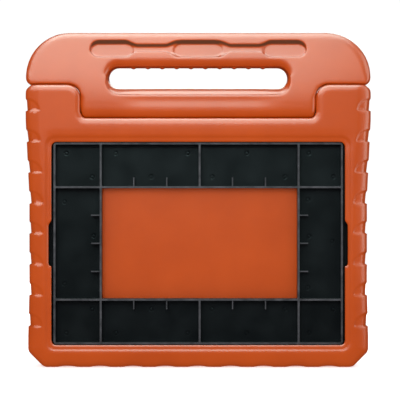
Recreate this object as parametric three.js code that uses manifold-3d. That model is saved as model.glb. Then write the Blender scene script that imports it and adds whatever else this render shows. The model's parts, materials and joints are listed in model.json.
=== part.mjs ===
// Moulded foam tablet case with a carry handle that folds back as a stand, and a ribbed spacer
// tray in its pocket. Millimetres. +Z up, the front faces -Y, +X is to the right as seen from the
// front. The origin is at the middle of the bottom edge, halfway through the depth.

import * as THREE from "three";
import { mergeVertices } from "three/addons/utils/BufferGeometryUtils.js";
import Module from "manifold-3d";

const wasm = await Module();
wasm.setup();

// ---------------------------------------------------------------- driving dimensions

const roundSteps = 6; // facets on a quarter turn of a fillet
const turnedSides = 28; // facets round a small turned part
const boreSides = 16; // facets round a screw or its bore
const barSides = 48;
const smallestEdge = 0.01;
const past = 1; // a cutter runs this far past what it cuts
const bite = 0.2; // a joined piece runs this far into its neighbour

// The tablet that the pocket is made for, and the tray that takes its place.
const tabletWidth = 250.6;
const tabletHeight = 174.1;
const tabletThickness = 7.5;
const pocketFit = 0.4; // gap all round the tray
const pocketFitDepth = 0.3; // gap in front of it and behind it
const pocketCorner = 6;

// Foam walls round the pocket.
const lipOverlap = 3.85; // how far the lip reaches over each short side of the tablet
const lipOverlapTop = 3.95;
const lipThickness = 3;
const lipSetback = 1; // the lip's edge lies behind the front of the bezel
const windowCorner = 4;
const sideWall = 13.8; // at the waist
const bottomWall = 14.75;
const topWall = 14.15; // from the pocket to the floor of the handle recess
const panelThickness = 9.5; // back panel
const backRecess = 5.4; // how far the panel lies in from the back of the rim
const backBorder = 24; // rim round the recess in the back
const backCorner = 14;

// Rim.
const rimRound = 4.5;
const earFlare = 3.1; // the sides stand out this much more at the ears than at the waist
const footFlare = 1; // and this much more at the foot
const footFlareHeight = 25; // where the foot's flare starts to run out
const waistReach = 37.5; // the waist is straight this far above and below the pocket's middle
const flareRound = 30;
const footChamfer = 13;
const footCorner = 6;
const earOuterCorner = 5.5;

// Thumb notches halfway up the short sides of the screen opening.
const notchHeight = 37;
const notchDepth = 2.3;
const notchSlant = 3;
const notchCorner = 1.5;

// Grip scoops on the sides and scallops along the foot.
const scoopPitch = 25.3;
const scoopHeight = 10;
const scoopDepth = 1.5;
const scoopReach = 12;
const scoopTopMargin = 20.6; // from the top of the ear to the highest ledge
const scoopFootMargin = 26;
const scallopPitch = 27;
const scallopWidth = 17;
const scallopDepth = 0.9;

// Openings for the tablet's own features.
const portLength = 36;
const portHeight = 6;
const cameraRadius = 8;
const cameraInset = 13; // from both edges of the tablet

// Hinge: the handle turns on an axis along X that runs through both ears.
const barRadius = 13.3; // lower bar of the handle
const earRadius = 14; // the ear's top and rear round, about the axis
const earWidth = 44.6;
const earCorner = 10; // inner top corner of an ear
const recessFit = 0.9; // bar to recess floor
const sideFit = 0.6; // bar end to ear
const shoulderFit = 0.6; // ear top to the handle's shoulder
const foldedFit = 0.6; // handle to body when it is folded back
const foldAngle = THREE.MathUtils.degToRad(110);
const barEndRound = 5;
const seamLayer = 6; // the handle follows the ear's rounded corner to this depth only
const easeReach = 4.5; // how far the ear is eased behind that depth, from its inner face
const easeSides = 40;

// Handle.
const gripHeight = 28.7; // the hand hole's top edge to the top of the handle
const handHoleHeight = 17;
const columnWidth = 22.6; // foam between the hand hole and the end of the bar
const handleCorner = 36;
const handleTaper = 0.6; // the sides lean in this much towards the top
const shoulderCorner = 6.5;
const gripRound = 6;
const fingerPocketHeight = 15;
const fingerPocketLength = 41.5;
const fingerPocketTop = 4.5; // from the pocket's top edge to the top of the handle
const fingerPocketDepth = 4;
const fingerGrooveHeight = 6.4;
const fingerGrooveTop = 4; // from the top edge of a pocket to the top edge of the groove
const outerPocketInset = 72.6; // from the side of the handle to the middle of an outer pocket
const gripRidges = 10;
const gripRidgePitch = 12;
const gripRidgeRadius = 2;
const gripRidgeProud = 1;
const gripRidgeLength = 16;

// Hinge hardware in each end of the bar and each ear.
const hardwareFit = 0.3; // between a plastic insert and the foam or plastic round it
const runningFit = 0.4; // between parts that turn on each other
const rodRadius = 4;
const hubFlangeRadius = 7.5;
const hubFlangeThickness = 2.4;
const hubSink = 0.8; // the hub's flange lies in from the end of the bar
const hubBarrelRadius = 6;
const hubBarrelLength = 14;
const hubEndWall = 2;
const stubRadius = 5.5;
const stubLength = 16;
const ratchetLength = 7;
const ratchetTeeth = 18;
const ratchetDepth = 0.6;
const ratchetGroove = 1.8; // width of a groove where it leaves the stub
const washerThickness = 1.2;
const socketFlangeRadius = 9;
const socketFlangeThickness = 2;
const socketRadius = 8.4; // to the flats of its outside, which key it into the foam
const socketSides = 8;
const socketEndWall = 2;
const screwRadius = 1.5;
const screwHeadRadius = 2.8;
const screwHeadHeight = 2;
const screwCrown = 0.8; // height of the domed part of its head
const screwSlotWidth = 0.7;
const screwSlotDepth = 1.2;
const screwPoint = 1;
const screwLength = 26;
const screwFit = 0.3;
const screwTipRoom = 2;

// Spacer tray.
const trayFloor = 1.8;
const trayWall = 1.6;
const trayRimInset = 6; // from the tray's short edge to its rim wall
const trayRimInsetLong = 3.8;
const trayCorner = 5;
const trayRimCorner = 2.5;
const windowStrip = 43.7; // from the tray's short edge to the wall of its window
const windowStripLong = 40.65;
const ribShift = 1.2; // the rib pattern sits this much to the right
const gussetLength = 7;
const gussetThickness = 1;
const gussetDrop = 1; // its top edge lies below the tops of the ribs
const gussetPitchAcross = 27.2;
const gussetPitchUp = 23.2;

// ---------------------------------------------------------------- places worked out from them

const pocketHalfWidth = tabletWidth / 2 + pocketFit;
const pocketHalfHeight = tabletHeight / 2 + pocketFit;
const pocketDepth = tabletThickness + 2 * pocketFitDepth;
const windowHalfWidth = tabletWidth / 2 - lipOverlap + pocketFit;
const windowHalfHeight = tabletHeight / 2 - lipOverlapTop + pocketFit;
const waistHalfWidth = pocketHalfWidth + sideWall;
const footHalfWidth = waistHalfWidth + footFlare;
const earHalfWidth = waistHalfWidth + earFlare;
const pocketMiddle = bottomWall + pocketHalfHeight;
const recessFloor = pocketMiddle + pocketHalfHeight + topWall;
const axisHeight = recessFloor + recessFit + barRadius;
const earTop = axisHeight + earRadius;

const bodyDepth = lipSetback + lipThickness + pocketDepth + panelThickness + backRecess;
const halfDepth = bodyDepth / 2;
const lipFront = -halfDepth + lipSetback;
const lipBack = lipFront + lipThickness;
const panelFront = lipBack + pocketDepth;
const panelBack = panelFront + panelThickness;
const tabletPlane = (lipBack + panelFront) / 2;

const earFace = earHalfWidth - earWidth;
const barEnd = earFace - sideFit;
const handHoleHalf = barEnd - columnWidth;
const handHoleFoot = barRadius; // measured from the axis, as every height of the handle is
const handHoleHead = handHoleFoot + handHoleHeight;
const handleTop = handHoleHead + gripHeight;
const shoulder = earRadius + shoulderFit;
const foldTilt = foldAngle - Math.PI / 2; // the folded handle points this far below level

const hubFace = barEnd - hubSink;
const hubInner = hubFace - hubFlangeThickness;
const hubBarrelEnd = hubInner - hubBarrelLength;
const stubEnd = hubFace + stubLength;
const rodEnd = hubFace - hubEndWall - runningFit;
const washerInner = hubFace + runningFit;
const socketFace = washerInner + washerThickness + runningFit;
const socketBoreEnd = stubEnd + runningFit;
const socketEnd = socketBoreEnd + socketEndWall;
const screwSeat = stubEnd - screwHeadHeight - screwFit;

// ---------------------------------------------------------------- shape helpers

// A closed outline from corners [x, y, radius], with a true arc at each corner that has a radius.
function outline(corners) {
  const points = [];
  const add = (point) => {
    if (points.every((other) => point.distanceTo(other) > smallestEdge)) points.push(point);
  };
  corners.forEach(([x, y, radius = 0], i) => {
    const corner = new THREE.Vector2(x, y);
    if (!radius) {
      add(corner);
      return;
    }
    const before = new THREE.Vector2(...corners.at(i - 1)).sub(corner).normalize();
    const after = new THREE.Vector2(...corners[(i + 1) % corners.length]).sub(corner).normalize();
    const half = Math.acos(THREE.MathUtils.clamp(before.dot(after), -1, 1)) / 2;
    const centre = before.clone().add(after).normalize().multiplyScalar(radius / Math.sin(half)).add(corner);
    const start = corner.clone().addScaledVector(before, radius / Math.tan(half));
    const sweep = (Math.PI - 2 * half) * -Math.sign(before.cross(after));
    const steps = Math.max(1, Math.round((roundSteps * Math.abs(sweep)) / (Math.PI / 2)));
    for (let k = 0; k <= steps; k++) add(start.clone().rotateAround(centre, (sweep * k) / steps));
  });
  return new THREE.Shape(points);
}

function rectangle(halfWidth, halfHeight, radius, middleX = 0, middleY = 0) {
  return outline([
    [middleX - halfWidth, middleY - halfHeight, radius],
    [middleX + halfWidth, middleY - halfHeight, radius],
    [middleX + halfWidth, middleY + halfHeight, radius],
    [middleX - halfWidth, middleY + halfHeight, radius],
  ]);
}

// An outline drawn as seen from the front (x, z), extruded from y = front to y = back.
function slab(shape, front, back, edgeRound = 0) {
  const rounded = edgeRound > 0;
  return new THREE.ExtrudeGeometry(shape, {
    depth: back - front - 2 * edgeRound,
    curveSegments: roundSteps,
    bevelEnabled: rounded,
    bevelThickness: edgeRound,
    bevelSize: edgeRound,
    bevelOffset: -edgeRound,
    bevelSegments: 4,
  }).rotateX(Math.PI / 2).translate(0, back - edgeRound, 0);
}

// An outline drawn as seen from the side (y, z), extruded from x = left to x = right.
const sideways = new THREE.Matrix4().makeBasis(
  new THREE.Vector3(0, 1, 0), new THREE.Vector3(0, 0, 1), new THREE.Vector3(1, 0, 0),
);
function beam(shape, left, right) {
  const geometry = new THREE.ExtrudeGeometry(shape, {
    depth: right - left, bevelEnabled: false, curveSegments: roundSteps,
  });
  return geometry.applyMatrix4(sideways).translate(left, 0, 0);
}

// A profile of [x, radius] points turned about the X axis; it starts and ends on the axis or closes on itself.
function turned(profile, sides = turnedSides) {
  const points = profile.map(([x, radius]) => new THREE.Vector2(radius, x));
  return new THREE.LatheGeometry(points, sides).rotateZ(-Math.PI / 2);
}

// The radius at the corners of a prism that has this radius at its flats.
const toCorners = (radius, sides) => radius / Math.cos(Math.PI / sides);

function drum(left, right, radius, sides = turnedSides) {
  return new THREE.CylinderGeometry(radius, radius, right - left, sides)
    .rotateZ(-Math.PI / 2)
    .translate((left + right) / 2, 0, 0);
}

const ordered = (a, b) => [Math.min(a, b), Math.max(a, b)];

function block(x0, x1, y0, y1, z0, z1) {
  return new THREE.BoxGeometry(x1 - x0, y1 - y0, z1 - z0)
    .translate((x0 + x1) / 2, (y0 + y1) / 2, (z0 + z1) / 2);
}

// ---------------------------------------------------------------- joining and cutting

function solid(geometry) {
  const bare = geometry.clone();
  bare.deleteAttribute("normal");
  bare.deleteAttribute("uv");
  const merged = mergeVertices(bare, 1e-4);
  return new wasm.Manifold(new wasm.Mesh({
    numProp: 3,
    vertProperties: merged.attributes.position.array,
    triVerts: new Uint32Array(merged.index.array),
  }));
}

const joined = (...geometries) => geometries.map(solid).reduce((whole, piece) => whole.add(piece));
const cut = (whole, ...geometries) => geometries.reduce((left, g) => left.subtract(solid(g)), whole);

function geometryOf(made) {
  const mesh = made.simplify(smallestEdge).getMesh(); // cuts leave slivers where two faces nearly meet
  const geometry = new THREE.BufferGeometry()
    .setAttribute("position", new THREE.BufferAttribute(mesh.vertProperties, mesh.numProp))
    .setIndex(new THREE.BufferAttribute(mesh.triVerts, 1))
    .toNonIndexed();
  geometry.computeVertexNormals();
  return geometry;
}

// ---------------------------------------------------------------- body shell

// Half width of the rim at a height: the waist, flared a little at the foot and at the ears.
const flares = [
  [footHalfWidth, footFlareHeight],
  [waistHalfWidth, pocketMiddle - waistReach],
  [waistHalfWidth, pocketMiddle + waistReach],
  [earHalfWidth, recessFloor],
];
function rimHalfWidth(z) {
  const above = flares.findIndex(([, height]) => height > z);
  if (above === 0) return footHalfWidth;
  if (above < 0) return earHalfWidth;
  const [[lowWidth, low], [highWidth, high]] = flares.slice(above - 1, above + 1);
  return THREE.MathUtils.mapLinear(z, low, high, lowWidth, highWidth);
}

function bodyOutline() {
  const right = [
    [footHalfWidth - footChamfer, 0, footCorner],
    [footHalfWidth, footChamfer, footCorner],
    ...flares.map(([halfWidth, height]) => [halfWidth, height, flareRound]),
    [earHalfWidth, earTop, earOuterCorner],
    [earFace, earTop, earCorner],
    [earFace, recessFloor, barEndRound + sideFit],
  ];
  const left = right.map(([x, z, radius]) => [-x, z, radius]).reverse();
  return outline([...right, ...left]);
}

function windowOutline() {
  const up = notchHeight / 2;
  const right = [
    [windowHalfWidth, -windowHalfHeight, windowCorner],
    [windowHalfWidth, -up, 0],
    [windowHalfWidth + notchDepth, -up, notchCorner],
    [windowHalfWidth + notchDepth, up - notchSlant, 0],
    [windowHalfWidth, up, 0],
    [windowHalfWidth, windowHalfHeight, windowCorner],
  ];
  const left = right.map(([x, z, radius]) => [-x, z, radius]).reverse();
  return outline([...right, ...left].map(([x, z, radius]) => [x, z + pocketMiddle, radius]));
}

// A scoop is a wedge taken off the side, the front and the back: deepest at its ledge and running out upwards.
function scoop(side, ledge) {
  const edge = rimHalfWidth(ledge);
  const wedge = (direction, surface) => outline([
    [direction * (surface - scoopDepth), ledge], [direction * (surface + scoopHeight), ledge],
    [direction * (surface + scoopHeight), ledge + scoopHeight], [direction * surface, ledge + scoopHeight],
  ]);
  const span = ordered(side * (edge - scoopReach), side * (edge + scoopHeight));
  return [
    slab(wedge(side, edge), -halfDepth - past, halfDepth + past),
    beam(wedge(-1, halfDepth), ...span),
    beam(wedge(1, halfDepth), ...span),
  ];
}

function scallop(middle) {
  const shape = new THREE.Shape();
  shape.moveTo(middle - scallopWidth / 2, 0);
  shape.quadraticCurveTo(middle, 2 * scallopDepth, middle + scallopWidth / 2, 0);
  shape.lineTo(middle + scallopWidth / 2, -past);
  shape.lineTo(middle - scallopWidth / 2, -past);
  return slab(shape, -halfDepth - past, halfDepth + past);
}

// The recess floor falls away at the back, parallel to the folded handle.
function recessRelief() {
  const floor = -(barRadius + recessFit);
  const gap = barRadius + foldedFit;
  const slope = (y) => -(gap + y * Math.sin(foldTilt)) / Math.cos(foldTilt);
  const start = (-floor * Math.cos(foldTilt) - gap) / Math.sin(foldTilt);
  const back = halfDepth + rimRound;
  return outline([[start, floor], [back, slope(back)], [back, earRadius], [start, earRadius]].map(([y, h]) => [
    y, h + axisHeight,
  ]));
}

// What lies outside the ear's round rear, above the axis.
function earRound() {
  const shape = new THREE.Shape();
  const outside = earRadius + past;
  shape.moveTo(earRadius, axisHeight);
  shape.absarc(0, axisHeight, earRadius, 0, Math.PI / 2, false);
  shape.lineTo(0, axisHeight + outside);
  shape.lineTo(outside, axisHeight + outside);
  shape.lineTo(outside, axisHeight);
  return shape;
}

// The handle's rounded inner corner sweeps past the rear of the ear's inner face, which is eased for it.
function earEase(turn) {
  const profile = [];
  for (let i = 0; i <= roundSteps; i++) {
    const x = (easeReach * i) / roundSteps;
    const top = earRadius - earCorner + Math.sqrt(earCorner ** 2 - (earCorner - x) ** 2);
    profile.push([earFace + x, Math.hypot(barRadius - seamLayer, top + shoulderFit) - foldedFit]);
  }
  const outside = 2 * earRadius;
  const inner = [earFace - past, profile[0][1]];
  const ring = [inner, ...profile, [profile.at(-1)[0], outside], [earFace - past, outside], inner];
  const rear = block(-earHalfWidth, earHalfWidth, 0, outside, -outside, outside);
  return solid(turned(ring.reverse(), easeSides).rotateZ(turn))
    .intersect(solid(rear))
    .translate([0, 0, axisHeight]);
}

function bodyShell() {
  const aroundPocket = (halfWidth, halfHeight, corner) =>
    rectangle(halfWidth, halfHeight, corner, 0, pocketMiddle);
  const setback = aroundPocket(windowHalfWidth + notchDepth, windowHalfHeight + notchDepth,
    windowCorner + notchDepth);
  const backPanel = aroundPocket(waistHalfWidth - backBorder, bottomWall + pocketHalfHeight - backBorder,
    backCorner);
  let body = cut(
    solid(slab(bodyOutline(), -halfDepth, halfDepth, rimRound)),
    slab(windowOutline(), -halfDepth - past, lipBack + past),
    slab(setback, -halfDepth - past, lipFront),
    slab(aroundPocket(pocketHalfWidth, pocketHalfHeight, pocketCorner), lipBack, panelFront),
    slab(backPanel, panelBack, halfDepth + past),
    beam(recessRelief(), -earFace, earFace),
    beam(earRound(), -earHalfWidth - past, earHalfWidth + past),
  );
  const highest = earTop - scoopTopMargin;
  for (let ledge = highest; ledge > scoopFootMargin; ledge -= scoopPitch)
    body = cut(body, ...scoop(1, ledge), ...scoop(-1, ledge));
  const across = Math.floor((footHalfWidth - footChamfer - scallopWidth) / scallopPitch);
  for (let i = -across; i <= across; i++) body = cut(body, scallop(i * scallopPitch));

  // Port slot through the right-hand wall, level with the tablet's middle, and the camera hole through the panel.
  const port = rectangle(portHeight / 2, portLength / 2, portHeight / 2, tabletPlane, pocketMiddle);
  const camera = new THREE.CylinderGeometry(cameraRadius, cameraRadius, bodyDepth, turnedSides)
    .translate(tabletWidth / 2 - cameraInset, panelFront - past + bodyDepth / 2,
      pocketMiddle + tabletHeight / 2 - cameraInset);
  body = cut(body, beam(port, pocketHalfWidth - past, earHalfWidth + past), camera);

  // At both ends of the axis, the hinge socket's cavity and the easing of the ear.
  for (const turn of [0, Math.PI]) {
    const cavities = [
      drum(earFace - past, socketFace + socketFlangeThickness + hardwareFit,
        socketFlangeRadius + hardwareFit),
      drum(socketFace, socketEnd + hardwareFit, toCorners(socketRadius + hardwareFit, socketSides),
        socketSides),
    ];
    body = cut(body, ...cavities.map((cavity) => cavity.rotateZ(turn).translate(0, 0, axisHeight)));
    body = body.subtract(earEase(turn));
  }
  return body;
}

// ---------------------------------------------------------------- handle, drawn about the hinge axis

function handleOutline() {
  const side = earHalfWidth;
  const layer = earCorner - shoulderFit;
  const right = [
    [barEnd, 0],
    [barEnd, shoulder, layer],
    [side, shoulder, shoulderCorner],
    [side - handleTaper, handleTop, handleCorner],
  ];
  const left = right.map(([x, h, radius]) => [-x, h, radius]).reverse();
  return outline([...right, ...left]);
}

function fingerRecess() {
  const top = handleTop - fingerPocketTop;
  const half = fingerPocketLength / 2;
  const outer = earHalfWidth - outerPocketInset;
  const round = fingerPocketHeight / 2;
  const grooveHalf = fingerGrooveHeight / 2;
  const shapes = [
    ...[-outer, 0, outer].map((middle) => rectangle(half, round, round, middle, top - round)),
    rectangle(outer, grooveHalf, 0, 0, top - fingerGrooveTop - grooveHalf),
  ];
  return shapes.map((shape) => slab(shape, -barRadius - past, -barRadius + fingerPocketDepth));
}

// Foam under the shoulders and round the bar's ends that would meet the body as the handle folds back.
function shoulderRelief() {
  const gap = halfDepth + foldedFit;
  const start = (shoulder * Math.cos(foldTilt) - gap) / Math.sin(foldTilt);
  const slope = (y) => (gap + y * Math.sin(foldTilt)) / Math.cos(foldTilt);
  const back = barRadius + past;
  const behind = seamLayer - barRadius;
  const shapes = [
    outline([[start, shoulder], [start, -past], [back, -past], [back, slope(back)]]),
    outline([[behind, shoulder], [behind, -past], [back, -past], [back, shoulder]]),
  ];
  const reach = earHalfWidth + past;
  return shapes.flatMap((shape) => [beam(shape, barEnd, reach), beam(shape, -reach, -barEnd)]);
}

function handleGrip() {
  const depth = barRadius;
  let grip = solid(slab(handleOutline(), -depth, depth, gripRound));
  const round = handHoleHeight / 2;
  const middle = handHoleFoot + round;
  const hole = slab(rectangle(handHoleHalf, round, round, 0, middle), -depth - past, depth + past);
  grip = cut(grip, hole, ...shoulderRelief(), ...fingerRecess());

  // The bar is round between the columns, with eased ends.
  const straight = handHoleHalf - round;
  const below = block(-straight, straight, -depth - past, depth + past, -past, handHoleFoot + smallestEdge);
  const profile = [[-barEnd, 0]];
  for (let i = 0; i <= roundSteps; i++) {
    const angle = (Math.PI / 2) * (i / roundSteps);
    profile.push([-barEnd + barEndRound * (1 - Math.cos(angle)),
      barRadius - barEndRound * (1 - Math.sin(angle))]);
  }
  const mirrored = profile.map(([x, radius]) => [-x, radius]).reverse();
  grip = cut(grip, below).add(solid(turned([...profile, ...mirrored], barSides)));

  // Ridges across the underside of the grip.
  for (let i = 0; i < gripRidges; i++) {
    const ridge = new THREE.CylinderGeometry(gripRidgeRadius, gripRidgeRadius, gripRidgeLength, boreSides)
      .translate((i - (gripRidges - 1) / 2) * gripRidgePitch, 0, handHoleHead + gripRidgeRadius - gripRidgeProud);
    grip = grip.add(solid(ridge));
  }

  // Bores for the hubs and the rod.
  return cut(
    grip,
    drum(-barEnd - past, barEnd + past, rodRadius + hardwareFit),
    ...[0, Math.PI].flatMap((turn) => [
      drum(hubInner - hardwareFit, barEnd + past, hubFlangeRadius + hardwareFit).rotateZ(turn),
      drum(hubBarrelEnd - hardwareFit, barEnd + past, hubBarrelRadius + hardwareFit).rotateZ(turn),
    ]),
  );
}

// ---------------------------------------------------------------- hinge hardware, drawn for the right-hand end

function ratchetHub() {
  const profile = [
    [hubBarrelEnd, 0], [hubBarrelEnd, hubBarrelRadius], [hubInner, hubBarrelRadius],
    [hubInner, hubFlangeRadius], [hubFace, hubFlangeRadius], [hubFace, stubRadius],
    [stubEnd, stubRadius], [stubEnd, 0],
  ];
  let hub = cut(
    solid(turned(profile)),
    drum(hubBarrelEnd - past, hubFace - hubEndWall, rodRadius + hardwareFit),
    drum(hubFace - hubEndWall - past, stubEnd + past, screwRadius + screwFit, boreSides),
    drum(screwSeat, stubEnd + past, screwHeadRadius + screwFit, boreSides),
  );
  const grooveShape = outline([
    [stubRadius - ratchetDepth, 0],
    [stubRadius + past, -ratchetGroove / 2],
    [stubRadius + past, ratchetGroove / 2],
  ]);
  const groove = beam(grooveShape, stubEnd - ratchetLength, stubEnd + past);
  for (let i = 0; i < ratchetTeeth; i++)
    hub = cut(hub, groove.clone().rotateX((i * 2 * Math.PI) / ratchetTeeth));
  return hub;
}

function earSocket() {
  const shell = joined(
    drum(socketFace, socketFace + socketFlangeThickness, socketFlangeRadius),
    drum(socketFace + bite, socketEnd, toCorners(socketRadius, socketSides), socketSides),
  );
  return cut(shell, drum(socketFace - past, socketBoreEnd, stubRadius + runningFit));
}

function thrustWasher() {
  const inner = stubRadius + runningFit;
  return solid(turned([
    [washerInner, inner], [washerInner, hubFlangeRadius], [washerInner + washerThickness, hubFlangeRadius],
    [washerInner + washerThickness, inner], [washerInner, inner],
  ]));
}

function pivotScrew() {
  const head = screwSeat + screwFit / 2;
  const top = head + screwHeadHeight;
  const tip = head - screwLength;
  const screw = solid(turned([
    [tip, 0], [tip + screwPoint, screwRadius], [head, screwRadius], [head, screwHeadRadius],
    [top - screwCrown, screwHeadRadius], [top, screwHeadRadius - screwCrown], [top, 0],
  ], boreSides));
  const halfLong = screwHeadRadius - screwCrown;
  const halfWide = screwSlotWidth / 2;
  const slot = block(top - screwSlotDepth, top + past, -halfWide, halfWide, -halfLong, halfLong);
  return cut(screw, slot, slot.clone().rotateX(Math.PI / 2));
}

function coreRod() {
  const rod = solid(drum(-rodEnd, rodEnd, rodRadius));
  const bottom = screwSeat - screwLength - screwTipRoom;
  const bore = drum(bottom, rodEnd + past, screwRadius + screwFit, boreSides);
  return cut(rod, bore, bore.clone().rotateZ(Math.PI));
}

// ---------------------------------------------------------------- spacer tray, drawn about its own middle

function spacerTray() {
  const halfWidth = tabletWidth / 2;
  const halfHeight = tabletHeight / 2;
  const back = tabletThickness / 2;
  const floor = back - trayFloor;
  const windowHalf = halfWidth - windowStrip;
  const windowHalfHigh = halfHeight - windowStripLong;
  const rimHalf = halfWidth - trayRimInset;
  const rimHalfHigh = halfHeight - trayRimInsetLong;
  const wall = (x0, x1, z0, z1, high = -back) => block(x0, x1, high, floor + bite, z0, z1);
  const edge = trayWall / 2;
  const thin = gussetThickness / 2;
  const upright = (x, z0, z1) => wall(x - edge, x + edge, z0, z1);
  const level = (z, x0, x1) => wall(x0, x1, z - edge, z + edge);

  const rimInside = rectangle(rimHalf - trayWall, rimHalfHigh - trayWall, trayRimCorner - trayWall);
  const rim = cut(
    solid(slab(rectangle(rimHalf, rimHalfHigh, trayRimCorner), -back, floor + bite)),
    slab(rimInside, -back - past, back + past),
  );
  const inX = rimHalf - edge;
  const inZ = rimHalfHigh - edge;
  let tray = solid(slab(rectangle(halfWidth, halfHeight, trayCorner), floor, back)).add(rim);
  const ribs = [
    upright(ribShift - windowHalf, -inZ, inZ), upright(ribShift + windowHalf, -inZ, inZ),
    level(windowHalfHigh, -inX, inX), level(-windowHalfHigh, -inX, inX),
    upright(ribShift, windowHalfHigh, inZ), upright(ribShift, -inZ, -windowHalfHigh),
  ];
  for (const rib of ribs) tray = tray.add(solid(rib));

  // Gussets stand outwards from the window's four walls.
  for (const side of [-1, 1]) {
    for (const i of [-2, -1, 1, 2]) {
      const x = ribShift + i * gussetPitchAcross;
      const ends = ordered(side * windowHalfHigh, side * (windowHalfHigh + edge + gussetLength));
      tray = tray.add(solid(wall(x - thin, x + thin, ...ends, -back + gussetDrop)));
    }
    for (const i of [-1, 0, 1]) {
      const z = i * gussetPitchUp;
      const root = ribShift + side * windowHalf;
      const ends = ordered(root, root + side * (edge + gussetLength));
      tray = tray.add(solid(wall(...ends, z - thin, z + thin, -back + gussetDrop)));
    }
  }
  return cut(tray, block(
    ribShift - windowHalf + edge, ribShift + windowHalf - edge,
    -back - past, back + past,
    -windowHalfHigh + edge, windowHalfHigh - edge,
  ));
}

// ---------------------------------------------------------------- the assembly

const foam = () => new THREE.MeshStandardMaterial({ color: 0xc75321, roughness: 0.72 });
const blackPlastic = () => new THREE.MeshStandardMaterial({ color: 0x1a1b1f, roughness: 0.5 });
const nylon = () => new THREE.MeshStandardMaterial({ color: 0x26282c, roughness: 0.55 });
const acetal = () => new THREE.MeshStandardMaterial({ color: 0xe6e3da, roughness: 0.4 });
const zincSteel = () => new THREE.MeshStandardMaterial({ color: 0xb4b7ba, roughness: 0.35, metalness: 1 });

function piece(name, made, material) {
  const mesh = new THREE.Mesh(geometryOf(made), material);
  mesh.name = name;
  return mesh;
}

const tabletCase = new THREE.Group();
tabletCase.add(piece("body_shell", bodyShell(), foam()));

const pocket = new THREE.Group();
pocket.position.set(0, tabletPlane, pocketMiddle);
pocket.add(piece("spacer_tray", spacerTray(), blackPlastic()));
tabletCase.add(pocket);

const hinge = new THREE.Group();
hinge.position.z = axisHeight;
hinge.add(piece("handle_grip", handleGrip(), foam()), piece("core_rod", coreRod(), nylon()));
for (const [side, turn] of [["right", 0], ["left", Math.PI]]) {
  const end = new THREE.Group();
  end.rotation.z = turn;
  end.add(
    piece("ratchet_hub_" + side, ratchetHub(), nylon()),
    piece("ear_socket_" + side, earSocket(), nylon()),
    piece("thrust_washer_" + side, thrustWasher(), acetal()),
    piece("pivot_screw_" + side, pivotScrew(), zincSteel()),
  );
  hinge.add(end);
}
tabletCase.add(hinge);

export default tabletCase;
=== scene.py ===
"""Moulded foam tablet case with a folding carry handle and a ribbed black spacer tray.

Metres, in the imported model's frame: +Z up, the front faces -Y. Sizes are written in
millimetres and turned to metres where points are made.
"""

import json
import math

import bmesh
import bpy
import numpy as np
from mathutils import Matrix, Vector


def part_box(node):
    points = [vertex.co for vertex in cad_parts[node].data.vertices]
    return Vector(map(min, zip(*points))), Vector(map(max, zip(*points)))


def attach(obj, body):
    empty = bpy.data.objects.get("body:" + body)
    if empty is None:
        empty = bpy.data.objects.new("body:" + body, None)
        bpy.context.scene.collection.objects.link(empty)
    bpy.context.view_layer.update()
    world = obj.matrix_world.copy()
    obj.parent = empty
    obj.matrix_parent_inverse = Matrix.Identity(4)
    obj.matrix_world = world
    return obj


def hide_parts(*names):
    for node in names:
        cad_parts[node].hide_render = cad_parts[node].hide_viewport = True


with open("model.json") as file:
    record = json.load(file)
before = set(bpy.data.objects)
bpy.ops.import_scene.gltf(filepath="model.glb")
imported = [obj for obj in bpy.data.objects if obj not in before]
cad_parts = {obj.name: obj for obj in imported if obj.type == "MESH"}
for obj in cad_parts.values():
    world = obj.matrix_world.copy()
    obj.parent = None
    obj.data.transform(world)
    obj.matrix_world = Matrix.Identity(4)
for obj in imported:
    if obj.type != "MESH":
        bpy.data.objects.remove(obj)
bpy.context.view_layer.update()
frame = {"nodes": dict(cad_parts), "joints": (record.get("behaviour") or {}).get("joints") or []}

MM = 0.001
ARC_STEPS = 10  # segments on a rounded corner or edge

# ------------------------------------------------------------ places taken from the frame, in mm

_, shell_high = [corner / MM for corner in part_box("body_shell")]
grip_low, grip_high = [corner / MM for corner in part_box("handle_grip")]
tray_low, tray_high = [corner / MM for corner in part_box("spacer_tray")]
_, rod_high = [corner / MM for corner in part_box("core_rod")]

AXIS_Z = frame["joints"][0]["pos_m"][2] / MM
HALF_DEPTH = shell_high.y
EAR_HALF = shell_high.x  # half width at the ears
EAR_TOP = shell_high.z
HANDLE_TOP = grip_high.z
BAR_RADIUS = -grip_low.y
RECESS_GAP = 0.9  # between the bar and the floor of the recess it lies in
RECESS_FLOOR = grip_low.z - RECESS_GAP
TRAY_Z = (tray_high.z + tray_low.z) / 2
TRAY_HALF = (tray_high.x - tray_low.x) / 2
TRAY_HALF_HIGH = (tray_high.z - tray_low.z) / 2
TRAY_FRONT, TRAY_BACK = tray_low.y, tray_high.y

# ------------------------------------------------------------ sizes of the foam shell, in mm

WAIST_HALF = EAR_HALF - 3.1
FOOT_HALF = EAR_HALF - 2.1
FOOT_CHAMFER = 13
EAR_FACE = EAR_HALF - 44.6
EAR_ROUND = EAR_TOP - AXIS_Z
WINDOW_HALF = 120.7
WINDOW_HALF_HIGH = 83.5
NOTCH_DEPTH = 2.3  # thumb notch in each short side of the screen opening
NOTCH_HALF = 18.5
LIP_BACK = TRAY_FRONT - 0.3
PANEL_FRONT = TRAY_BACK + 0.3
PANEL_BACK = PANEL_FRONT + 9.5
BACK_HALF = WAIST_HALF - 24  # recess in the back
BACK_HALF_HIGH = BACK_HALF - 37.3
BACK_CORNER = 14
CAMERA_INSET = 13  # from the tray's edges to the middle of the camera hole
CAMERA_RADIUS = 8
PORT_HALF_WIDE, PORT_HALF_HIGH, PORT_CORNER = 3, 18, 2.9
RIM_ROUND = 5  # round of the rim, which is tighter at the ears and the recess
BEAD_ROUND = 4.2
POCKET_HALF = TRAY_HALF + 0.4
POCKET_HALF_HIGH = TRAY_HALF_HIGH + 0.4
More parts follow.
